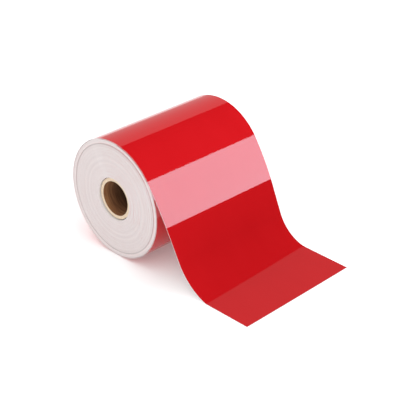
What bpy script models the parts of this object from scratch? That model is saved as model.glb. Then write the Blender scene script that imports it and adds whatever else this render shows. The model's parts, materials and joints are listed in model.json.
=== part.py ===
"""A roll of red sign vinyl on a paperboard core, with its free end drawn off onto the bench.

Run it with:  blender --background --python part.py

Metres, +Z up. +X runs along the roll's axis and the web leaves the roll towards -Y. The origin is
on the bench, under the middle of the whole object. Angles on the roll are measured from +Y towards
+Z, which is also the way the wound web grows, so a positive turn of the core about +X unwinds it.
The web is a laminate: a gloss face film, its adhesive coat and the paper release liner under them.
"""

from math import cos, pi, radians, sin

import bmesh
import bpy
from mathutils import Vector

MM = 0.001

# The stock: a 4 inch web on a 1 inch core.
WEB_WIDTH = 101.6 * MM
ROLL_RADIUS = 44.3 * MM
BORE_RADIUS = 12.7 * MM
CORE_WALL = 2.3 * MM
CORE_RECESS = 1.3 * MM
CORE_PLIES = 5

# The laminate, drawn thicker than the real 0.18 mm web so that it makes sound solids.
FILM = 0.30 * MM
ADHESIVE = 0.12 * MM
LINER = 0.30 * MM
GAP = 0.10 * MM
FILM_DEPTH = 0.0
ADHESIVE_DEPTH = FILM + GAP
LINER_DEPTH = ADHESIVE_DEPTH + ADHESIVE + GAP
WEB_THICKNESS = LINER_DEPTH + LINER
LAP_PITCH = WEB_THICKNESS + GAP

# The wound pack: a few thick turns stand for the real 160 or so. The first turn swells from a
# quarter of its thickness and the last shrinks to a quarter, so the pack is round inside and out.
WOUND_TURNS = 7
WOUND_SEGMENTS = 28
WOUND_START = pi
WOUND_TAPER = 0.25
WOUND_SHARES = {"liner": 0.42, "adhesive": 0.16, "film": 0.42}
CORE_CLEARANCE = 0.7 * MM
PACK_CLEARANCE = 0.3 * MM

# The strip that holds the web's first turn on the core.
TAPE_THICKNESS = 0.15 * MM
TAPE_ARC = radians(63)
TAPE_STEP = radians(9)
TAPE_LENGTH = 80 * MM

# The free end, as the film's outer surface: it leaves the roll along the tangent, steepens a
# little, then bends forward onto the bench and lies flat to its square-cut end.
LEAVING_ANGLE = radians(145)
LAP_STEP = radians(5)
STEEPEST = radians(65)
UPPER_CURVE_LENGTH = 0.95 * ROLL_RADIUS
FLOOR_BEND_RADIUS = 0.62 * ROLL_RADIUS
END_REACH = 2.858 * ROLL_RADIUS
PEEL_OFFSET = 12 * MM
JOINT_GAP = 0.3 * MM

# The core lies level, so its height is the film's radius where the last lap meets the bench.
BOTTOM_ANGLE = radians(-90)
AXIS_HEIGHT = ROLL_RADIUS - LAP_PITCH * (LEAVING_ANGLE - BOTTOM_ANGLE) / (2 * pi)
AXIS = Vector((0, (END_REACH - ROLL_RADIUS) / 2, AXIS_HEIGHT))

COLOURS = {
    "film": (0.58, 0.010, 0.014, 1),
    "adhesive": (0.62, 0.60, 0.55, 1),
    "liner": (0.80, 0.77, 0.76, 1),
    "board": (0.62, 0.44, 0.28, 1),
    "tape": (0.70, 0.62, 0.42, 1),
}
ROUGHNESS = {"film": 0.15, "adhesive": 0.35, "liner": 0.6, "board": 0.85, "tape": 0.5}


def clear_scene():
    for obj in list(bpy.data.objects):
        bpy.data.objects.remove(obj, do_unlink=True)


def make_material(name, kind):
    material = bpy.data.materials.new(name)
    material.use_nodes = True
    shader = material.node_tree.nodes["Principled BSDF"]
    shader.inputs["Base Color"].default_value = COLOURS[kind]
    shader.inputs["Roughness"].default_value = ROUGHNESS[kind]
    shader.inputs["Metallic"].default_value = 0.0
    return material


def add_object(name, mesh, kind, pivot, collection):
    """A node whose mesh is in the object's own frame, hung on the empty of its joint."""
    obj = bpy.data.objects.new(name, mesh)
    obj.data.materials.append(make_material(name, kind))
    collection.objects.link(obj)
    obj.parent = pivot
    obj.location = -pivot.location
    return obj


def add_pivot(name, location, collection):
    empty = bpy.data.objects.new(name, None)
    empty.empty_display_size = 10 * MM
    empty.location = location
    collection.objects.link(empty)
    return empty


def around_axis(radius, angle):
    """The point in the YZ plane at this radius and angle about the roll's axis."""
    return Vector((0, AXIS.y + radius * cos(angle), AXIS.z + radius * sin(angle)))


def ribbon(name, path, thickness, kind, pivot, collection, width=WEB_WIDTH):
    """A strip across the web: its outer surface follows path, and Solidify thickens it inwards."""
    mesh = bpy.data.meshes.new(name)
    shape = bmesh.new()
    row = [shape.verts.new(point - Vector((width / 2, 0, 0))) for point in path]
    edges = [shape.edges.new(pair) for pair in zip(row, row[1:])]
    swept = bmesh.ops.extrude_edge_only(shape, edges=edges)["geom"]
    moved = [part for part in swept if isinstance(part, bmesh.types.BMVert)]
    bmesh.ops.translate(shape, verts=moved, vec=(width, 0, 0))
    shape.normal_update()
    if edges[0].link_faces[0].normal.dot(outward(path)) < 0:
        bmesh.ops.reverse_faces(shape, faces=shape.faces)
    shape.to_mesh(mesh)
    shape.free()
    obj = add_object(name, mesh, kind, pivot, collection)
    shell = obj.modifiers.new("thickness", "SOLIDIFY")
    shell.thickness = thickness
    shell.offset = -1
    shell.use_even_offset = True
    obj.data.shade_smooth()
    obj.data.set_sharp_from_angle(angle=radians(30))
    return obj


def outward(path):
    """The side of a path that faces away from the core: its direction turned a quarter back."""
    along = (path[1] - path[0]).normalized()
    return Vector((0, along.z, -along.y))


def lap_path(depth):
    """The last lap, from under the line where the web leaves, round once to that line."""
    steps = round(2 * pi / LAP_STEP)
    angles = [LEAVING_ANGLE - 2 * pi + step * LAP_STEP for step in range(steps + 1)]
    radii = [ROLL_RADIUS - LAP_PITCH * (LEAVING_ANGLE - angle) / (2 * pi) - depth for angle in angles]
    return [around_axis(radius, angle) for radius, angle in zip(radii, angles)]


def arc_run(start, slope_from, slope_to, length, segments):
    """Points and slopes along an arc. A slope is the angle below level of the way forward."""
    point = start.copy()
    run = []
    for step in range(segments):
        middle = slope_from + (slope_to - slope_from) * (step + 0.5) / segments
        point = point + Vector((0, -cos(middle), -sin(middle))) * (length / segments)
        run.append((point, slope_from + (slope_to - slope_from) * (step + 1) / segments))
    return run


def drape_run():
    """The film's outer surface from the roll to the start of the flat flap."""
    leaving_slope = LEAVING_ANGLE - pi / 2
    run = [(around_axis(ROLL_RADIUS, LEAVING_ANGLE), leaving_slope)]
    run += arc_run(run[-1][0], leaving_slope, STEEPEST, UPPER_CURVE_LENGTH, 5)
    bend_length = FLOOR_BEND_RADIUS * STEEPEST
    bend = arc_run(Vector(), STEEPEST, 0, bend_length, 13)
    straight_drop = run[-1][0].z - WEB_THICKNESS + bend[-1][0].z
    run += arc_run(run[-1][0], STEEPEST, STEEPEST, straight_drop / sin(STEEPEST), 2)
    run += arc_run(run[-1][0], STEEPEST, 0, bend_length, 13)
    return run


def sunk(run, depth):
    """The run's points moved down into the laminate, square to its surface."""
    return [point - depth * Vector((0, -sin(slope), cos(slope))) for point, slope in run]


def trimmed(path):
    """A path that starts JOINT_GAP late, so that it never touches the section before it."""
    return [path[0] + JOINT_GAP * (path[1] - path[0]).normalized()] + path[1:]


def flat_path(start_y, end_y, depth):
    height = WEB_THICKNESS - depth
    return [Vector((0, start_y, height)), Vector((0, end_y, height))]


def wound_section(place, inner_radius, outer_radius):
    """The cross-section of the wound layer in this place, counted from the web's inner side.

    It is a list of (outer point, inner point), from the core outwards.
    """
    shares = list(WOUND_SHARES.values())
    below = sum(shares[:place])
    pitch = (outer_radius - inner_radius) / WOUND_TURNS
    section = []
    first = round(WOUND_TAPER * WOUND_SEGMENTS)
    last = (WOUND_TURNS + 1) * WOUND_SEGMENTS - first
    for step in range(first, last + 1):
        turn = step / WOUND_SEGMENTS
        under = max(inner_radius, inner_radius + pitch * (turn - 1))
        over = min(outer_radius, inner_radius + pitch * turn) - GAP
        solid = over - under - 2 * GAP
        inner = under + place * GAP + below * solid
        angle = WOUND_START + 2 * pi * turn
        section.append([around_axis(radius, angle) for radius in (inner + shares[place] * solid, inner)])
    return section


def wound_layer(name, section, kind, pivot, collection):
    """A cross-section filled with one strip of quads and drawn out across the web."""
    mesh = bpy.data.meshes.new(name)
    shape = bmesh.new()
    side = Vector((WEB_WIDTH / 2, 0, 0))
    rows = [[shape.verts.new(point - side) for point in pair] for pair in section]
    for (outer, inner), (next_outer, next_inner) in zip(rows, rows[1:]):
        shape.faces.new((outer, inner, next_inner, next_outer))
    drawn = bmesh.ops.extrude_face_region(shape, geom=list(shape.faces))["geom"]
    moved = [part for part in drawn if isinstance(part, bmesh.types.BMVert)]
    bmesh.ops.translate(shape, verts=moved, vec=2 * side)
    bmesh.ops.recalc_face_normals(shape, faces=shape.faces)
    shape.to_mesh(mesh)
    shape.free()
    obj = add_object(name, mesh, kind, pivot, collection)
    obj.data.shade_smooth()
    obj.data.set_sharp_from_angle(angle=radians(30))


def build_core(pivot, collection):
    """Spiral-wound board plies, drawn as nested tubes and numbered from the bore outwards."""
    thickness = (CORE_WALL - (CORE_PLIES - 1) * GAP) / CORE_PLIES
    half_length = WEB_WIDTH / 2 - CORE_RECESS
    for ply in range(CORE_PLIES):
        inner = BORE_RADIUS + ply * (thickness + GAP)
        outer = inner + thickness
        name = f"core_ply_{ply + 1}"
        mesh = bpy.data.meshes.new(name)
        shape = bmesh.new()
        corners = ((outer, half_length), (outer, -half_length), (inner, -half_length), (inner, half_length))
        loop = [shape.verts.new((radius, 0, height)) for radius, height in corners]
        for index, corner in enumerate(loop):
            shape.edges.new((corner, loop[(index + 1) % len(loop)]))
        shape.to_mesh(mesh)
        shape.free()
        obj = add_object(name, mesh, "board", pivot, collection)
        obj.location = (0, 0, 0)
        obj.rotation_euler = (0, pi / 2, 0)
        turn = obj.modifiers.new("turn", "SCREW")
        turn.angle = 2 * pi
        turn.steps = turn.render_steps = 40
        turn.use_merge_vertices = False


def build_start_tape(pivot, collection):
    radius = BORE_RADIUS + CORE_WALL + 0.2 * MM + TAPE_THICKNESS
    angles = [step * TAPE_STEP for step in range(round(TAPE_ARC / TAPE_STEP) + 1)]
    path = [around_axis(radius, angle) for angle in angles]
    ribbon("core_start_tape", path, TAPE_THICKNESS, "tape", pivot, collection, TAPE_LENGTH)


def build_wound_pack(pivot, collection):
    inner = BORE_RADIUS + CORE_WALL + CORE_CLEARANCE
    outer = ROLL_RADIUS - LAP_PITCH - WEB_THICKNESS - PACK_CLEARANCE + GAP
    for place, layer in enumerate(WOUND_SHARES):
        section = wound_section(place, inner, outer)
        wound_layer(f"wound_{layer}", section, layer, pivot, collection)


def build_free_web(pivots, collection):
    """The last lap, the drape and the flap, each cut into sections at its bending lines."""
    layers = (
        ("film", FILM_DEPTH, FILM),
        ("adhesive", ADHESIVE_DEPTH, ADHESIVE),
        ("liner", LINER_DEPTH, LINER),
    )
    end_y = AXIS.y - END_REACH
    flap_y = pivots["flap"].location.y
    peel_y = pivots["peel"].location.y
    for layer, depth, thickness in layers:
        ribbon(f"lap_{layer}", lap_path(depth), thickness, layer, pivots["lap"], collection)
        drape = trimmed(sunk(drape_run(), depth))
        ribbon(f"drape_{layer}", drape, thickness, layer, pivots["drape"], collection)
        flap_end_y = end_y if layer == "liner" else peel_y
        flap = flat_path(flap_y - JOINT_GAP, flap_end_y, depth)
        ribbon(f"flap_{layer}", flap, thickness, layer, pivots["flap"], collection)
        if layer != "liner":
            tab = flat_path(peel_y - JOINT_GAP, end_y, depth)
            ribbon(f"peel_{layer}", tab, thickness, layer, pivots["peel"], collection)


def main():
    clear_scene()
    collection = bpy.data.collections.new("sign_vinyl_roll")
    bpy.context.scene.collection.children.link(collection)
    run = drape_run()
    flap_line = run[-1][0]
    pivots = {
        "lap": add_pivot("last_lap_pivot", AXIS, collection),
        "roll": add_pivot("core_pivot", AXIS, collection),
        "drape": add_pivot("leaving_line", run[0][0], collection),
        "flap": add_pivot("floor_bend_line", flap_line, collection),
        "peel": add_pivot("peel_line", flap_line - Vector((0, PEEL_OFFSET, 0)), collection),
    }
    build_core(pivots["roll"], collection)
    build_start_tape(pivots["roll"], collection)
    build_wound_pack(pivots["roll"], collection)
    build_free_web(pivots, collection)


main()
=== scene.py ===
"""The looks of a roll of gloss red sign vinyl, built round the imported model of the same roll.

Metres, +Z up. +X runs along the roll's axis and the web leaves the roll towards -Y. The film, its
adhesive and the release liner are one laminate: every piece of it here is a flat strip that is
bent into place by a rule, so a strip's UV map is its flat size in metres.
"""

import json
import math
import random
from functools import partial

import bmesh
import bpy
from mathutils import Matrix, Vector


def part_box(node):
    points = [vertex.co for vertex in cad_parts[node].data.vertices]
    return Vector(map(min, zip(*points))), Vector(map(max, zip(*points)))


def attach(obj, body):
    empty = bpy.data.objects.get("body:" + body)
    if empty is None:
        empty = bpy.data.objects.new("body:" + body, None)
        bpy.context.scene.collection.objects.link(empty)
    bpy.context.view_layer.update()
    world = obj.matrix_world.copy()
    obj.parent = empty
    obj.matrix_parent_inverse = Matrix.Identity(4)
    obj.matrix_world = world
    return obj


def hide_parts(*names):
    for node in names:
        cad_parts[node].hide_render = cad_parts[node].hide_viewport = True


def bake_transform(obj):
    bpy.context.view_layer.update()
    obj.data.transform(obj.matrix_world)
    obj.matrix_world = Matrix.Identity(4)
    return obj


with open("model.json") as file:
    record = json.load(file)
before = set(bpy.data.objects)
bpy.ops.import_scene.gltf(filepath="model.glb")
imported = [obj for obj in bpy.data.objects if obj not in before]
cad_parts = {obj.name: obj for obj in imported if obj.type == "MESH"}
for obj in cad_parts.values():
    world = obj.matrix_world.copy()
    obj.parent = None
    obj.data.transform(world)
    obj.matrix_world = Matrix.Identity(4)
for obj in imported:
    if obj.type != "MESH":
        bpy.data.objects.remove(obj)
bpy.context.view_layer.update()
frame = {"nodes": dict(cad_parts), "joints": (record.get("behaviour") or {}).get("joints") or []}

bl_info = {
    "name": "Sign vinyl roll",
    "version": (1, 0, 0),
    "blender": (4, 5, 0),
    "location": "3D View > Sidebar > Vinyl",
    "description": "Builds a part-used roll of gloss sign vinyl on a board core, and its studio",
    "category": "Object",
}

MM = 0.001
JOINTS = {joint["name"]: joint for joint in frame["joints"]}
AXIS = Vector(JOINTS["roll_turn"]["pos_m"])
LEAVING_LINE = Vector(JOINTS["tail_lift"]["pos_m"])
FLOOR_BEND_LINE = Vector(JOINTS["flap_lift"]["pos_m"])
PEEL_LINE = Vector(JOINTS["film_peel"]["pos_m"])
FLAP_LOW, FLAP_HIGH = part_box("flap_liner")
CORE_LOW, CORE_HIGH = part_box("core_ply_5")
WEB_WIDTH = FLAP_HIGH.x - FLAP_LOW.x
CORE_RADIUS = (CORE_HIGH.z - CORE_LOW.z) / 2
CORE_LENGTH = CORE_HIGH.x - CORE_LOW.x
LEAVING_ANGLE = math.atan2(LEAVING_LINE.z - AXIS.z, LEAVING_LINE.y - AXIS.y)
FULL_TURN = 2 * math.pi
TINY = 1e-9
BOTTOM_ANGLE = -math.pi / 2
CORE_PLIES = 5
CREASE_ANGLE = math.radians(40)


# ---------------------------------------------------------------- sizes and colours


class VinylSizes(bpy.types.PropertyGroup):
    """Sizes of the laminate and of the way that it is wound."""

    film: bpy.props.FloatProperty(
        name="Film",
        description="Face film thickness, drawn half as thick again as the real 0.08 mm",
        default=0.12 * MM,
        unit="LENGTH",
        precision=5,
    )
    adhesive: bpy.props.FloatProperty(
        name="Adhesive",
        description="Adhesive coat under the film",
        default=0.03 * MM,
        unit="LENGTH",
        precision=5,
    )
    liner: bpy.props.FloatProperty(
        name="Liner",
        description="Release liner thickness, drawn thicker than the real 0.08 mm",
        default=0.14 * MM,
        unit="LENGTH",
        precision=5,
    )
    air: bpy.props.FloatProperty(
        name="Air",
        description="Clearance between one lap and the next",
        default=0.01 * MM,
        unit="LENGTH",
        precision=5,
    )
    core_gap: bpy.props.FloatProperty(
        name="Core gap",
        description="Gap between the core and the first lap",
        default=0.55 * MM,
        unit="LENGTH",
        precision=5,
    )
    outer_laps: bpy.props.IntProperty(
        name="Outer laps",
        description="Laps outside the groove that a restart of the winder left",
        default=9,
    )
    groove: bpy.props.FloatProperty(
        name="Groove",
        description="Depth of that groove at the near end",
        default=0.35 * MM,
        unit="LENGTH",
        precision=5,
    )
    wander: bpy.props.FloatProperty(
        name="Wander",
        description="How far the web wanders sideways from lap to lap",
        default=0.03 * MM,
        unit="LENGTH",
        precision=5,
    )


class VinylColours(bpy.types.PropertyGroup):
    """Colours of the finishes, as sRGB hex values."""

    film: bpy.props.StringProperty(name="Film", description="Face film", default="C8171D")
    film_edge: bpy.props.StringProperty(
        name="Film edge", description="Slit edge of the film", default="E0D5D5"
    )
    adhesive: bpy.props.StringProperty(
        name="Adhesive", description="Adhesive over the back of the film", default="B4504C"
    )
    liner: bpy.props.StringProperty(
        name="Liner", description="Release paper", default="ECE8E6"
    )
    liner_edge: bpy.props.StringProperty(
        name="Liner edge", description="Slit edge of the release paper", default="EFE9E7"
    )
    kraft: bpy.props.StringProperty(
        name="Kraft", description="Board plies, face side", default="AE7A50"
    )
    cut_board: bpy.props.StringProperty(
        name="Cut board", description="Board plies where they are cut", default="F0DCC4"
    )
    tape: bpy.props.StringProperty(
        name="Tape", description="Strip that starts the web on the core", default="D8C48C"
    )
    floor: bpy.props.StringProperty(name="Floor", description="Studio floor", default="F6F6F6")


# ---------------------------------------------------------------- material helpers

# A colour Mix node's sockets go by number, because its other kinds of socket share their names.
MIX_FACTOR, MIX_LOW, MIX_HIGH, MIX_RESULT = 0, 6, 7, 2
# A noise value keeps near 0.5, so this range of it is drawn out to the whole one from 0 to 1.
NOISE_RANGE = {"From Min": 0.3, "From Max": 0.7}
WHITE = (1, 1, 1, 1)


def linear(code):
    """A linear RGBA colour from an sRGB hex value."""
    channels = [int(code[place : place + 2], 16) / 255 for place in (0, 2, 4)]
    curve = [c / 12.92 if c <= 0.04045 else ((c + 0.055) / 1.055) ** 2.4 for c in channels]
    return (*curve, 1.0)


def shaded(colour, red, green, blue):
    """A linear colour with each channel cut down to its own share."""
    return (colour[0] * red, colour[1] * green, colour[2] * blue, 1)


def plug(tree, node, inputs):
    """Sets a node's inputs, and links those whose value is another node's socket."""
    for name, value in inputs.items():
        if isinstance(value, bpy.types.NodeSocket):
            tree.links.new(value, node.inputs[name])
        else:
            node.inputs[name].default_value = value


def add_node(tree, kind, inputs=None, **settings):
    """Adds a node, sets its properties, and sets or links its inputs."""
    node = tree.nodes.new(kind)
    for name, value in settings.items():
        setattr(node, name, value)
    plug(tree, node, inputs or {})
    return node


def new_finish(name, shine):
    """An empty material with its Principled shader and output; shine holds the fixed sockets."""
    finish = bpy.data.materials.new(name)
    finish.use_nodes = True
    tree = finish.node_tree
    tree.nodes.clear()
    shader = add_node(tree, "ShaderNodeBsdfPrincipled", shine)
    add_node(tree, "ShaderNodeOutputMaterial", {"Surface": shader.outputs["BSDF"]})
    return finish, tree, shader


def flat_place(tree, across, along):
    """The strip's own flat coordinates, for a pattern of so many mm across the web and along it."""
    uv = add_node(tree, "ShaderNodeTexCoord").outputs["UV"]
    scale = (1 / (across * MM), 1 / (along * MM), 1)
    return add_node(tree, "ShaderNodeMapping", {"Vector": uv, "Scale": scale}).outputs["Vector"]


def solid_place(tree, sizes):
    """Object coordinates about the roll's middle, for a pattern of so many mm in X, Y and Z."""
    spot = add_node(tree, "ShaderNodeTexCoord").outputs["Object"]
    scale = [1 / (size * MM) for size in sizes]
    moved = {"Vector": spot, "Location": [-c * s for c, s in zip(AXIS, scale)], "Scale": scale}
    return add_node(tree, "ShaderNodeMapping", moved).outputs["Vector"]


def from_axis(tree):
    """The distance from the roll's axis, in metres."""
    spot = add_node(tree, "ShaderNodeTexCoord").outputs["Object"]
    moved = {"Vector": spot, "Location": (0, -AXIS.y, -AXIS.z), "Scale": (0, 1, 1)}
    beside = add_node(tree, "ShaderNodeMapping", moved).outputs["Vector"]
    return add_node(tree, "ShaderNodeVectorMath", {0: beside}, operation="LENGTH").outputs["Value"]


# ---------------------------------------------------------------- finishes


def gloss_calendered_pvc(colours):
    """Calendered PVC: pigmented through, pressed glossy between polished rolls.

    Its gloss is near a mirror's, so a lamp shows in it with hard edges. The skin has a faint orange
    peel of about 3 mm and long shallow bands that run with the web.
    """
    finish, tree, shader = new_finish("gloss calendered PVC", {"IOR": 1.53, "Roughness": 0.05})
    cloudy = {"Vector": flat_place(tree, 16.7, 40), "Scale": 1.0, "Detail": 2.0}
    cloud = add_node(tree, "ShaderNodeTexNoise", cloudy).outputs["Fac"]
    banded = {"Vector": flat_place(tree, 6.25, 111), "Scale": 1.0, "Detail": 1.0}
    bands = add_node(tree, "ShaderNodeTexNoise", banded).outputs["Fac"]
    peeled = {"Vector": flat_place(tree, 3.03, 3.03), "Scale": 1.0, "Detail": 1.0}
    peel = add_node(tree, "ShaderNodeTexNoise", peeled).outputs["Fac"]
    red = linear(colours.film)
    mixed = {MIX_FACTOR: cloud, MIX_LOW: shaded(red, 0.94, 0.8, 0.8), MIX_HIGH: red}
    tone = add_node(tree, "ShaderNodeMix", mixed, data_type="RGBA").outputs[MIX_RESULT]
    long_waves = add_node(tree, "ShaderNodeBump", {"Height": bands, "Distance": 0.010 * MM})
    fine = {"Height": peel, "Distance": 0.006 * MM, "Normal": long_waves.outputs["Normal"]}
    relief = add_node(tree, "ShaderNodeBump", fine).outputs["Normal"]
    plug(tree, shader, {"Base Color": tone, "Normal": relief})
    return finish


def slit_film_edge(colours):
    """The film's slit edge: the knife whitens it, and the groove's painted shade and the proud lap's
    painted highlight tone it as the paper.
    """
    finish, tree, shader = new_finish("slit PVC edge", {"IOR": 1.53, "Roughness": 0.6})
    grained = {"Vector": solid_place(tree, (0.2222, 0.2222, 0.2222)), "Scale": 1.0, "Detail": 2.0}
    grain = add_node(tree, "ShaderNodeTexNoise", grained).outputs["Fac"]
    pale = linear(colours.film_edge)
    mixed = {MIX_FACTOR: grain, MIX_LOW: shaded(pale, 0.93, 0.88, 0.88), MIX_HIGH: pale}
    tone = add_node(tree, "ShaderNodeMix", mixed, data_type="RGBA").outputs[MIX_RESULT]
    # Multiplies in the restart groove's painted shade and the proud lap's painted highlight.
    toned = {MIX_FACTOR: 1.0, MIX_LOW: tone, MIX_HIGH: restart_shade_and_highlight(tree, from_axis(tree))}
    ringed = add_node(tree, "ShaderNodeMix", toned, data_type="RGBA", blend_type="MULTIPLY")
    plug(tree, shader, {"Base Color": ringed.outputs[MIX_RESULT]})
    return finish


def acrylic_adhesive(colours):
    """Clear acrylic adhesive over the film's back: satin, with a faint mottle from its coating."""
    finish, tree, shader = new_finish("clear acrylic adhesive", {"IOR": 1.47})
    mottled = {"Vector": flat_place(tree, 2.5, 2.5), "Scale": 1.0, "Detail": 3.0}
    mottle = add_node(tree, "ShaderNodeTexNoise", mottled).outputs["Fac"]
    clear = linear(colours.adhesive)
    mixed = {MIX_FACTOR: mottle, MIX_LOW: shaded(clear, 0.85, 0.85, 0.85), MIX_HIGH: clear}
    tone = add_node(tree, "ShaderNodeMix", mixed, data_type="RGBA").outputs[MIX_RESULT]
    satin = {"Value": mottle, **NOISE_RANGE, "To Min": 0.22, "To Max": 0.4}
    roughness = add_node(tree, "ShaderNodeMapRange", satin).outputs["Result"]
    relief = add_node(tree, "ShaderNodeBump", {"Height": mottle, "Distance": 0.01 * MM})
    plug(tree, shader, {"Base Color": tone, "Roughness": roughness, "Normal": relief.outputs["Normal"]})
    return finish


def release_paper(colours):
    """Silicone-coated release paper: smooth and slightly glossy, with a cloudy fibre formation."""
    finish, tree, shader = new_finish("silicone release paper", {"IOR": 1.45})
    cloudy = {"Vector": flat_place(tree, 4, 4), "Scale": 1.0, "Detail": 4.0}
    cloud = add_node(tree, "ShaderNodeTexNoise", cloudy).outputs["Fac"]
    paper = linear(colours.liner)
    mixed = {MIX_FACTOR: cloud, MIX_LOW: shaded(paper, 0.93, 0.92, 0.91), MIX_HIGH: paper}
    tone = add_node(tree, "ShaderNodeMix", mixed, data_type="RGBA").outputs[MIX_RESULT]
    sleek = {"Value": cloud, **NOISE_RANGE, "To Min": 0.4, "To Max": 0.55}
    roughness = add_node(tree, "ShaderNodeMapRange", sleek).outputs["Result"]
    relief = add_node(tree, "ShaderNodeBump", {"Height": cloud, "Distance": 0.008 * MM})
    plug(tree, shader, {"Base Color": tone, "Roughness": roughness, "Normal": relief.outputs["Normal"]})
    return finish


def slit_paper_edge(colours):
    """The wound liner's slit edges: matt and fibrous, with faint rings from the winder's tension.

    The laps outside the last restart are toned slightly lighter, and start with painted shade in the
    groove and a pale lap painted as a highlight.
    """
    finish, tree, shader = new_finish("slit paper edge", {"IOR": 1.45, "Roughness": 0.8})
    fibrous = {"Vector": solid_place(tree, (0.2857, 0.2857, 0.2857)), "Scale": 1.0, "Detail": 4.0}
    fibre = add_node(tree, "ShaderNodeTexNoise", fibrous).outputs["Fac"]
    cloudy = {"Vector": solid_place(tree, (7.14, 7.14, 7.14)), "Scale": 1.0, "Detail": 2.0}
    cloud = add_node(tree, "ShaderNodeTexNoise", cloudy).outputs["Fac"]
    radius = from_axis(tree)
    rings_per_metre = 520.0
    wound = {"W": radius, "Scale": rings_per_metre, "Detail": 3.0}
    ring = add_node(tree, "ShaderNodeTexNoise", wound, noise_dimensions="1D").outputs["Fac"]
    stretched = add_node(tree, "ShaderNodeMapRange", {"Value": ring, **NOISE_RANGE}).outputs["Result"]
    pale = linear(colours.liner_edge)
    mixed = {MIX_FACTOR: stretched, MIX_LOW: shaded(pale, 0.86, 0.84, 0.85), MIX_HIGH: pale}
    rings = add_node(tree, "ShaderNodeMix", mixed, data_type="RGBA").outputs[MIX_RESULT]
    warmed = {MIX_FACTOR: cloud, MIX_LOW: (0.97, 0.92, 0.90, 1), MIX_HIGH: WHITE}
    clouds = add_node(tree, "ShaderNodeMix", warmed, data_type="RGBA").outputs[MIX_RESULT]
    tinted = {MIX_FACTOR: 1.0, MIX_LOW: rings, MIX_HIGH: clouds}
    tone = add_node(tree, "ShaderNodeMix", tinted, data_type="RGBA", blend_type="MULTIPLY")
    # Multiplies in the restart groove's painted shade and the proud lap's painted highlight.
    toned = {MIX_FACTOR: 1.0, MIX_LOW: tone.outputs[MIX_RESULT], MIX_HIGH: restart_shade_and_highlight(tree, radius)}
    ringed = add_node(tree, "ShaderNodeMix", toned, data_type="RGBA", blend_type="MULTIPLY")
    relief = add_node(tree, "ShaderNodeBump", {"Height": fibre, "Distance": 0.05 * MM})
    plug(tree, shader, {"Base Color": ringed.outputs[MIX_RESULT], "Normal": relief.outputs["Normal"]})
    return finish


def restart_shade_and_highlight(tree, radius):
    """Tones by radius: painted shade in the groove where the winder restarted, a pale lap painted as a
    highlight beside it, then a slightly lighter outer band.
    """
    outside = lap_radius(BOTTOM_ANGLE)
    span = 6 * MM
    sockets = {"Value": radius, "From Min": outside - span, "From Max": outside}
    place = add_node(tree, "ShaderNodeMapRange", sockets).outputs["Result"]
    ramp = add_node(tree, "ShaderNodeValToRGB", {"Fac": place})
    # The 0.62 stop is painted shade in the groove, and the stops at 1.0 are a painted highlight on the
    # proud lap.
    stops = {0.0: 0.90, 0.30: 0.88, 0.38: 0.62, 0.46: 0.90, 0.52: 1.0, 0.60: 1.0, 0.68: 0.90, 0.95: 0.94}
    bands = ramp.color_ramp.elements
    while len(bands) < len(stops):
        bands.new(0.5)
    for band, (where, tone) in zip(bands, stops.items()):
        band.position = where
        band.color = (tone, tone, tone, 1)
    return ramp.outputs["Color"]


def kraft_board(colours):
    """Spiral-wound kraft board: brown and matt, with fibre streaks that run round the tube.

    The board is painted darker more than 18 mm in from the tube's ends: painted shade for the dark deep
    bore, lightening towards the ends.
    """
    finish, tree, shader = new_finish("kraft board", {"IOR": 1.45, "Roughness": 0.9})
    streaked = {"Vector": flat_place(tree, 1.43, 14.3), "Scale": 1.0, "Detail": 4.0}
    streak = add_node(tree, "ShaderNodeTexNoise", streaked).outputs["Fac"]
    flecked = {"Vector": flat_place(tree, 0.667, 1.667), "Scale": 1.0, "Detail": 3.0}
    fleck = add_node(tree, "ShaderNodeTexNoise", flecked).outputs["Fac"]
    stretched = add_node(tree, "ShaderNodeMapRange", {"Value": streak, **NOISE_RANGE}).outputs["Result"]
    kraft = linear(colours.kraft)
    mixed = {MIX_FACTOR: stretched, MIX_LOW: shaded(kraft, 0.5, 0.42, 0.4), MIX_HIGH: kraft}
    brown = add_node(tree, "ShaderNodeMix", mixed, data_type="RGBA").outputs[MIX_RESULT]
    flat = add_node(tree, "ShaderNodeTexCoord").outputs["UV"]
    along = add_node(tree, "ShaderNodeSeparateXYZ", {0: flat}).outputs["X"]
    away = add_node(tree, "ShaderNodeMath", {0: along}, operation="ABSOLUTE").outputs["Value"]
    # Painted shade: the colour drops to about a sixth this far in from each end, standing in for the
    # shade deep in the bore.
    shade_reach = 18 * MM
    reach = {"Value": away, "From Min": CORE_LENGTH / 2 - shade_reach, "From Max": CORE_LENGTH / 2}
    unshaded_near_end = add_node(tree, "ShaderNodeMapRange", reach).outputs["Result"]
    bore_shade = {MIX_FACTOR: unshaded_near_end, MIX_LOW: (0.16, 0.14, 0.13, 1), MIX_HIGH: WHITE}
    depth = add_node(tree, "ShaderNodeMix", bore_shade, data_type="RGBA").outputs[MIX_RESULT]
    toned = {MIX_FACTOR: 1.0, MIX_LOW: brown, MIX_HIGH: depth}
    tone = add_node(tree, "ShaderNodeMix", toned, data_type="RGBA", blend_type="MULTIPLY")
    relief = add_node(tree, "ShaderNodeBump", {"Height": fleck, "Distance": 0.06 * MM})
    plug(tree, shader, {"Base Color": tone.outputs[MIX_RESULT], "Normal": relief.outputs["Normal"]})
    return finish


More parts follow.
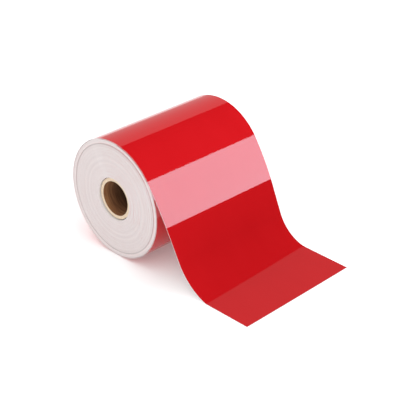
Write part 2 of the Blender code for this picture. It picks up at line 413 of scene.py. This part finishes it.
def cut_board(colours):
    """The core's sawn end: paler than its face, with a soft fibrous nap."""
    finish, tree, shader = new_finish("sawn board end", {"IOR": 1.45, "Roughness": 0.95})
    napped = {"Vector": solid_place(tree, (0.1667, 0.1667, 0.1667)), "Scale": 1.0, "Detail": 4.0}
    nap = add_node(tree, "ShaderNodeTexNoise", napped).outputs["Fac"]
    stretched = add_node(tree, "ShaderNodeMapRange", {"Value": nap, **NOISE_RANGE}).outputs["Result"]
    board = linear(colours.cut_board)
    mixed = {MIX_FACTOR: stretched, MIX_LOW: shaded(board, 0.8, 0.74, 0.66), MIX_HIGH: board}
    tone = add_node(tree, "ShaderNodeMix", mixed, data_type="RGBA").outputs[MIX_RESULT]
    relief = add_node(tree, "ShaderNodeBump", {"Height": nap, "Distance": 0.12 * MM})
    plug(tree, shader, {"Base Color": tone, "Normal": relief.outputs["Normal"]})
    return finish


def crepe_tape(colours):
    """Creped paper tape: fine ridges across the strip."""
    finish, tree, shader = new_finish("creped paper tape", {"IOR": 1.45, "Roughness": 0.7})
    creped = {"Vector": solid_place(tree, (0.667, 0.08, 0.08)), "Scale": 1.0, "Detail": 2.0}
    ridges = add_node(tree, "ShaderNodeTexNoise", creped).outputs["Fac"]
    tape = linear(colours.tape)
    mixed = {MIX_FACTOR: ridges, MIX_LOW: shaded(tape, 0.8, 0.78, 0.7), MIX_HIGH: tape}
    tone = add_node(tree, "ShaderNodeMix", mixed, data_type="RGBA").outputs[MIX_RESULT]
    relief = add_node(tree, "ShaderNodeBump", {"Height": ridges, "Distance": 0.04 * MM})
    plug(tree, shader, {"Base Color": tone, "Normal": relief.outputs["Normal"]})
    return finish


def painted_floor(colours):
    """Matt painted studio floor, a clean near-white with a faint cloud of about 25 mm."""
    finish, tree, shader = new_finish("matt white paint", {"IOR": 1.45, "Roughness": 0.9})
    cloudy = {"Vector": solid_place(tree, (25, 25, 25)), "Scale": 1.0, "Detail": 2.0}
    cloud = add_node(tree, "ShaderNodeTexNoise", cloudy).outputs["Fac"]
    white = linear(colours.floor)
    mixed = {MIX_FACTOR: cloud, MIX_LOW: shaded(white, 0.985, 0.985, 0.985), MIX_HIGH: white}
    tone = add_node(tree, "ShaderNodeMix", mixed, data_type="RGBA").outputs[MIX_RESULT]
    plug(tree, shader, {"Base Color": tone})
    return finish


FINISHES = {
    "film": gloss_calendered_pvc,
    "film_edge": slit_film_edge,
    "adhesive": acrylic_adhesive,
    "liner": release_paper,
    "liner_edge": slit_paper_edge,
    "kraft": kraft_board,
    "cut_board": cut_board,
    "tape": crepe_tape,
    "floor": painted_floor,
}
made_finishes = {}


def finish_of(name):
    """The finish of that name, made the first time it is asked for."""
    if name not in made_finishes:
        made_finishes[name] = FINISHES[name](bpy.context.scene.vinyl_colours)
    return made_finishes[name]


# ---------------------------------------------------------------- shape rules


def around_axis(x, radius, angle):
    """The point at this place along the roll, radius and angle, measured from +Y towards +Z."""
    return AXIS + Vector((x, radius * math.cos(angle), radius * math.sin(angle)))


def web_thickness():
    """Film, adhesive and liner together."""
    sizes = bpy.context.scene.vinyl_sizes
    return sizes.film + sizes.adhesive + sizes.liner


def lap_radius(angle):
    """The film's outer radius on the last lap: it touches the bench and grows by one lap a turn."""
    pitch = web_thickness() + bpy.context.scene.vinyl_sizes.air
    return AXIS.z + pitch * (angle - BOTTOM_ANGLE) / FULL_TURN


def on_last_lap(x, run, depth):
    """The point on the last lap at a run, which is negative, from the leaving line."""
    angle = LEAVING_ANGLE + run / lap_radius(LEAVING_ANGLE - math.pi)
    return around_axis(x, lap_radius(angle) - depth, angle)


# The tail's shape at its near and far edges: its steepest slope, the upper curve's length, the
# floor bend's radius, the slope that this bend ends at, and the radius of the curve that lands it.
# Slopes are in degrees and lengths in roll radii.
NEAR_EDGE = {"steepest": 61.2, "upper": 0.95, "bend": 0.95, "lands": 18.0, "landing": 0.2}
FAR_EDGE = {"steepest": 67.0, "upper": 0.85, "bend": 0.68, "lands": 16.0, "landing": 0.5}


def curve_step(slope, turn, length):
    """How far forward and down a piece of web goes that starts at a slope and turns evenly."""
    if abs(turn) < TINY:
        return length * math.cos(slope), length * math.sin(slope)
    radius = length / turn
    forward = radius * (math.sin(slope + turn) - math.sin(slope))
    return forward, -radius * (math.cos(slope + turn) - math.cos(slope))


def tail_stretches(side):
    """The tail's stretches at a side from 0, near, to 1, far: (slope, turn, length) of each."""
    shape = {key: NEAR_EDGE[key] + (FAR_EDGE[key] - NEAR_EDGE[key]) * side for key in NEAR_EDGE}
    radius = lap_radius(LEAVING_ANGLE)
    leaving = LEAVING_ANGLE - math.pi / 2
    steepest, lands = math.radians(shape["steepest"]), math.radians(shape["lands"])
    curved = [
        (leaving, steepest - leaving, shape["upper"] * radius),
        (steepest, lands - steepest, shape["bend"] * radius * (steepest - lands)),
        (lands, -lands, shape["landing"] * radius * lands),
    ]
    drop = around_axis(0, radius, LEAVING_ANGLE).z - web_thickness()
    straight = (drop - sum(curve_step(*stretch)[1] for stretch in curved)) / math.sin(steepest)
    return [curved[0], (steepest, 0.0, straight), curved[1], curved[2], (0.0, 0.0, WEB_WIDTH)]


def tail_profile(side):
    """Where each stretch of the tail starts at this side: (run so far, place, slope, turn, length)."""
    profile = []
    run = 0.0
    place = around_axis(0, lap_radius(LEAVING_ANGLE), LEAVING_ANGLE)
    for slope, turn, length in tail_stretches(side):
        profile.append((run, place, slope, turn, length))
        forward, down = curve_step(slope, turn, length)
        run += length
        place = place + Vector((0, -forward, -down))
    return profile


def on_tail(profiles, x, run, depth):
    """The point on the tail, a run away from the roll and a depth into the laminate."""
    profile = profiles[x]
    start, place, slope, turn, length = [part for part in profile if part[0] <= run + TINY][-1]
    share = (run - start) / length
    forward, down = curve_step(slope, turn * share, length * share)
    angle = slope + turn * share
    normal = Vector((0, -math.sin(angle), math.cos(angle)))
    return place + Vector((x, -forward, -down)) - depth * normal


def tail_length():
    """The web's length from the roll to its square-cut end, which lands at the frame's end."""
    run, place, _, _, _ = tail_profile(0.5)[-1]
    return run + place.y - FLAP_LOW.y


def columns(count):
    """Places across the web, from its near edge to its far one."""
    return [WEB_WIDTH * (step / count - 0.5) for step in range(count + 1)]


def bent_strip(name, across, along, place, layer):
    """A flat strip bent into place, with its flat size as its UV map.

    across and along are the places on the flat strip, and place(x, run, depth) gives the point in
    space. layer is (depth, thickness, face finish, edge finish): Solidify gives it its thickness.
    """
    depth, thickness, face, edge = layer
    shape = bmesh.new()
    flat = shape.loops.layers.uv.new("flat")
    bmesh.ops.create_grid(shape, x_segments=len(across) - 1, y_segments=len(along) - 1, size=1)
    spots = {}
    for vert in shape.verts:
        column = round((vert.co.x + 1) / 2 * (len(across) - 1))
        row = round((1 - vert.co.y) / 2 * (len(along) - 1))
        spots[vert] = (across[column], along[row])
    for quad in shape.faces:
        quad.smooth = True
        for loop in quad.loops:
            loop[flat].uv = spots[loop.vert]
    for vert, (x, run) in spots.items():
        vert.co = place(x, run, depth)
    mesh = bpy.data.meshes.new(name)
    shape.to_mesh(mesh)
    shape.free()
    strip = bpy.data.objects.new(name, mesh)
    bpy.context.scene.collection.objects.link(strip)
    mesh.materials.append(finish_of(face))
    mesh.materials.append(finish_of(edge))
    wall = strip.modifiers.new("thickness", "SOLIDIFY")
    wall.thickness = thickness
    wall.offset = -1
    wall.material_offset_rim = 1
    # The wall is made real here, so that the shading can break sharply where it meets the faces.
    bpy.context.view_layer.update()
    thick = strip.evaluated_get(bpy.context.evaluated_depsgraph_get())
    strip.data = bpy.data.meshes.new_from_object(thick)
    strip.modifiers.clear()
    strip.data.set_sharp_from_angle(angle=CREASE_ANGLE)
    # Studio flags keep each piece out of the others' gloss.
    strip.visible_glossy = False
    return strip


def even(start, end, step):
    """Places from start to end, about step apart."""
    count = max(1, round(abs(end - start) / step))
    return [start + (end - start) * index / count for index in range(count + 1)]


def web_layers():
    """The laminate's layers from the film inwards: name, (depth, thickness, face, edge)."""
    sizes = bpy.context.scene.vinyl_sizes
    skin = 0.002 * MM
    return {
        "film": (0.0, sizes.film, "film", "film_edge"),
        "adhesive": (sizes.film + skin, sizes.adhesive - 2 * skin, "adhesive", "film_edge"),
        "liner": (sizes.film + sizes.adhesive, sizes.liner, "liner", "liner_edge"),
    }


# ---------------------------------------------------------------- operators


class VINYL_OT_core(bpy.types.Operator):
    """Board core of five spiral-wound plies, each with its own open butt seam."""

    bl_idname = "vinyl.core"
    bl_label = "Board core"

    def execute(self, context):
        wall = CORE_RADIUS - self.bore_radius()
        glue_line = 0.03 * MM
        half_seam = 0.15 * MM
        first_lead, lead_step = 70 * MM, 4 * MM
        start_step = 1.9
        across = [CORE_LENGTH * (step / 40 - 0.5) for step in range(41)]
        thickness = (wall - (CORE_PLIES - 1) * glue_line) / CORE_PLIES
        for ply in range(CORE_PLIES):
            outer = CORE_RADIUS - (CORE_PLIES - 1 - ply) * (thickness + glue_line)
            around = FULL_TURN * outer
            place = partial(self.on_ply, outer, first_lead + lead_step * ply, start_step * ply)
            along = even(half_seam, around - half_seam, around / 128)
            layer = (0.0, thickness, "kraft", "cut_board")
            strip = bent_strip(f"board_ply_{ply + 1}", across, along, place, layer)
            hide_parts(f"core_ply_{ply + 1}")
            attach(strip, "wound_roll")
        frame["nodes"]["core_start_tape"].data.materials[0] = finish_of("tape")
        return {"FINISHED"}

    @staticmethod
    def bore_radius():
        """The core's bore, read off the innermost ply's vertices in the frame."""
        ply = frame["nodes"]["core_ply_1"].data.vertices
        return min(math.hypot(v.co.y - AXIS.y, v.co.z - AXIS.z) for v in ply)

    @staticmethod
    def on_ply(outer, lead, start, x, run, depth):
        """A ply is a strip wound round the tube, so its seam moves on by one turn in each lead."""
        return around_axis(x, outer - depth, start + run / outer + FULL_TURN * x / lead)


class VINYL_OT_wound_pack(bpy.types.Operator):
    """The turns that are wound on the core, lap by lap, as one spiral of each layer."""

    bl_idname = "vinyl.wound_pack"
    bl_label = "Wound pack"

    def execute(self, context):
        sizes = context.scene.vinyl_sizes
        pitch = web_thickness() + sizes.air
        first = CORE_RADIUS + sizes.core_gap + web_thickness()
        last = lap_radius(LEAVING_ANGLE - FULL_TURN) - web_thickness() - 2 * sizes.air
        turns = (last - first) / pitch
        drift = self.sideways(math.ceil(turns) + 2, sizes)
        place = partial(self.on_pack, first, pitch, drift)
        steps_a_turn = 84
        angles = even(0, turns * FULL_TURN, FULL_TURN / steps_a_turn)
        for name, layer in web_layers().items():
            strip = bent_strip(f"wound_{name}_turns", columns(1), angles, place, layer)
            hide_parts(f"wound_{name}")
            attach(strip, "wound_roll")
        return {"FINISHED"}

    @staticmethod
    def sideways(laps, sizes):
        """Each lap's place along the axis: a small wander, and a groove with a proud lap beside it."""
        draw = random.Random(4)
        drift = []
        wander = 0.0
        for lap in range(laps):
            wander = 0.7 * wander + draw.uniform(-1, 1) * sizes.wander
            from_outside = laps - 3 - lap
            step = {sizes.outer_laps: sizes.groove, sizes.outer_laps - 1: -0.4 * sizes.groove}
            drift.append(wander + step.get(from_outside, 0.0))
        return drift

    @staticmethod
    def on_pack(first, pitch, drift, x, angle, depth):
        """A lap moves sideways evenly, from its own place along the axis to the next lap's."""
        lap, share = divmod(angle / FULL_TURN, 1)
        here, after = drift[int(lap)], drift[int(lap) + 1]
        radius = first + pitch * angle / FULL_TURN - depth
        return around_axis(x + here + (after - here) * share, radius, angle)


class VINYL_OT_last_lap(bpy.types.Operator):
    """The lap that the free end comes off, from under the leaving line round to that line."""

    bl_idname = "vinyl.last_lap"
    bl_label = "Last lap"

    def execute(self, context):
        length = FULL_TURN * lap_radius(LEAVING_ANGLE - math.pi)
        steps = 360
        along = even(-length, 0, length / steps)
        for name, layer in web_layers().items():
            strip = bent_strip(f"lap_{name}_skin", columns(4), along, on_last_lap, layer)
            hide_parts(f"lap_{name}")
            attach(strip, "last_lap")
        return {"FINISHED"}


class VINYL_OT_free_end(bpy.types.Operator):
    """The drawn-off web: it leaves the roll and bends on the bench, and its film and adhesive end in
    their own reach past the peel line.
    """

    bl_idname = "vinyl.free_end"
    bl_label = "Free end"

    def execute(self, context):
        upper_reach = 31.5 * MM
        upper_turn, peel_turn = 26 * MM, 9 * MM
        grid = 0.7 * MM
        across = columns(24)
        profiles = {x: tail_profile(x / WEB_WIDTH + 0.5) for x in across}
        place = partial(on_tail, profiles)
        end = tail_length()
        peel = end - (PEEL_LINE.y - FLAP_LOW.y)
        leaving = around_axis(0, lap_radius(LEAVING_ANGLE), LEAVING_ANGLE)
        slope = LEAVING_ANGLE - math.pi / 2
        drawn = leaving + upper_turn * Vector((0, -math.cos(slope), -math.sin(slope)))
        curl = PEEL_LINE - Vector((0, peel_turn, 0))
        for name, layer in web_layers().items():
            stop = end if name == "liner" else peel
            reaches = [
                ("tail", "drape", 0, upper_reach, "last_lap", "drape", leaving, drawn),
                ("bend", "flap", upper_reach, stop, "drape", "flap", FLOOR_BEND_LINE, PEEL_LINE),
            ]
            if name != "liner":
                reaches.append(("end", "peel", peel, end, "flap", "peel_tab", PEEL_LINE, curl))
            for reach, node, start, finish, above, below, turn_from, turn_to in reaches:
                strip = bent_strip(f"{reach}_{name}", across, even(start, finish, grid), place, layer)
                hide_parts(f"{node}_{name}")
                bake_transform(strip)
        return {"FINISHED"}


class VINYL_OT_stage(bpy.types.Operator):
    """Pale floor, soft studio lamps and the camera."""

    bl_idname = "vinyl.stage"
    bl_label = "Stage"

    def execute(self, context):
        self.floor()
        self.lamps()
        self.camera(context.scene)
        self.sky(context.scene)
        return {"FINISHED"}

    @staticmethod
    def panel(name, size, finish):
        """A square level sheet of the studio, centred under the roll's frame."""
        shape = bmesh.new()
        bmesh.ops.create_grid(shape, x_segments=1, y_segments=1, size=size / 2)
        mesh = bpy.data.meshes.new(name)
        shape.to_mesh(mesh)
        shape.free()
        mesh.materials.append(finish)
        sheet = bpy.data.objects.new(name, mesh)
        bpy.context.scene.collection.objects.link(sheet)
        return sheet

    def floor(self):
        """A floor that is wide enough to pass for an endless one."""
        self.panel("studio_floor", 12.0, finish_of("floor"))

    @staticmethod
    def lamp(name, direction, distance, size, radiance, seen=True):
        """A soft rectangular lamp whose long edges run along the roll's axis.

        direction is from the roll to the lamp, and radiance is its brightness as a glossy face
        shows it. A lamp that isn't seen lights the piece and leaves no reflection.
        """
        light = bpy.data.lights.new(name, "AREA")
        light.shape = "RECTANGLE"
        light.size, light.size_y = size
        light.energy = radiance * math.pi * size[0] * size[1]
        holder = bpy.data.objects.new(name, light)
        bpy.context.scene.collection.objects.link(holder)
        away = Vector(direction).normalized()
        holder.location = AXIS + away * distance
        holder.rotation_euler = (math.atan2(-away.y, away.z), 0, 0)
        holder.visible_camera = False
        holder.visible_glossy = seen
        return holder

    @staticmethod
    def chosen(name, pieces, state):
        """A collection that takes the pieces into a lamp's light or shade, or leaves them out."""
        group = bpy.data.collections.new(name)
        for piece in pieces:
            group.objects.link(piece)
        for entry in group.collection_objects:
            entry.light_linking.link_state = state
        return group

    def lamps(self):
        """The strip and the back softboxes show in the film, and the rest only light it.

        A flag keeps the strip off the web below its first reach and off the drawn web's liner, and
        the back softbox is dimmer on that low web. The wash lights the bench alone and casts no
        shadow, so the bench stays near white.
        """
        floor = bpy.data.objects["studio_floor"]
        low_web = [bpy.data.objects["bend_film"], bpy.data.objects["end_film"]]
        liners = [bpy.data.objects["tail_liner"], bpy.data.objects["bend_liner"]]
        off_low_web = self.chosen("off low web", low_web, "EXCLUDE")
        strip = self.lamp("strip_softbox", (0.62, -0.724, 0.296), 0.9, (0.45, 0.436), 6.8)
        strip.data.color = (0.58, 0.87, 1.0)
        strip.light_linking.receiver_collection = self.chosen("off strip", low_web + liners, "EXCLUDE")
        behind = self.lamp("back_softbox", (0.60, 0.599, 0.322), 1.6, (2.4, 1.29), 0.57)
        behind.light_linking.receiver_collection = off_low_web
        glow = self.lamp("back_glow", (0.60, 0.599, 0.322), 1.6, (2.4, 1.29), 0.27)
        glow.light_linking.receiver_collection = self.chosen("on low web", low_web, "INCLUDE")
        self.lamp("top_softbox", (-0.1, -0.15, 1.0), 1.8, (2.2, 2.2), 0.85, seen=False)
        key = self.lamp("left_softbox", (-0.85, -0.35, 0.5), 1.5, (1.4, 1.4), 0.75, seen=False)
        key.rotation_euler = (AXIS - key.location).to_track_quat("-Z", "Y").to_euler()
        wash = self.lamp("bench_wash", (0, 0, 1), 2.0, (3.0, 3.0), 0.45, seen=False)
        wash.light_linking.receiver_collection = self.chosen("on bench", [floor], "INCLUDE")
        pieces = [piece for piece in bpy.context.scene.objects if piece.type == "MESH" and piece != floor]
        wash.light_linking.blocker_collection = self.chosen("off pieces", pieces, "EXCLUDE")

    @staticmethod
    def camera(scene):
        """A long lens, so that the roll's two ends look nearly the same size. Places are in radii."""
        radius = lap_radius(LEAVING_ANGLE)
        lens = bpy.data.cameras.new("camera")
        lens.sensor_width = 36.0
        lens.lens = 121.1
        holder = bpy.data.objects.new("camera", lens)
        scene.collection.objects.link(holder)
        holder.location = AXIS + Vector((-13.593, -14.891, 10.601)) * radius
        aim = AXIS + Vector((0.066, -0.891, -0.314)) * radius
        holder.rotation_euler = (aim - holder.location).to_track_quat("-Z", "Y").to_euler()
        scene.camera = holder

    @staticmethod
    def sky(scene):
        """An even white light from all round, which leaves no reflection."""
        world = bpy.data.worlds.new("studio")
        world.use_nodes = True
        back = world.node_tree.nodes["Background"]
        back.inputs["Color"].default_value = (1.0, 1.0, 1.0, 1)
        back.inputs["Strength"].default_value = 0.78
        world.cycles_visibility.glossy = False
        scene.world = world
        scene.view_settings.view_transform = "Standard"


class VINYL_PT_panel(bpy.types.Panel):
    """Lists the roll's operators, sizes and colours."""

    bl_idname = "VINYL_PT_panel"
    bl_label = "Sign vinyl roll"
    bl_space_type = "VIEW_3D"
    bl_region_type = "UI"
    bl_category = "Vinyl"

    def draw(self, context):
        for step in STEPS:
            self.layout.operator(step.bl_idname)
        for group in (context.scene.vinyl_sizes, context.scene.vinyl_colours):
            box = self.layout.box()
            for name in group.__annotations__:
                box.prop(group, name)


STEPS = (VINYL_OT_core, VINYL_OT_wound_pack, VINYL_OT_last_lap, VINYL_OT_free_end, VINYL_OT_stage)
CLASSES = (VinylSizes, VinylColours, *STEPS, VINYL_PT_panel)


def register():
    for each in CLASSES:
        bpy.utils.register_class(each)
    bpy.types.Scene.vinyl_sizes = bpy.props.PointerProperty(type=VinylSizes)
    bpy.types.Scene.vinyl_colours = bpy.props.PointerProperty(type=VinylColours)


def unregister():
    del bpy.types.Scene.vinyl_colours
    del bpy.types.Scene.vinyl_sizes
    for each in reversed(CLASSES):
        bpy.utils.unregister_class(each)


def main():
    """Builds every piece and the stage."""
    register()
    bpy.ops.vinyl.core()
    bpy.ops.vinyl.wound_pack()
    bpy.ops.vinyl.last_lap()
    bpy.ops.vinyl.free_end()
    bpy.ops.vinyl.stage()


if __name__ == "__main__":
    main()
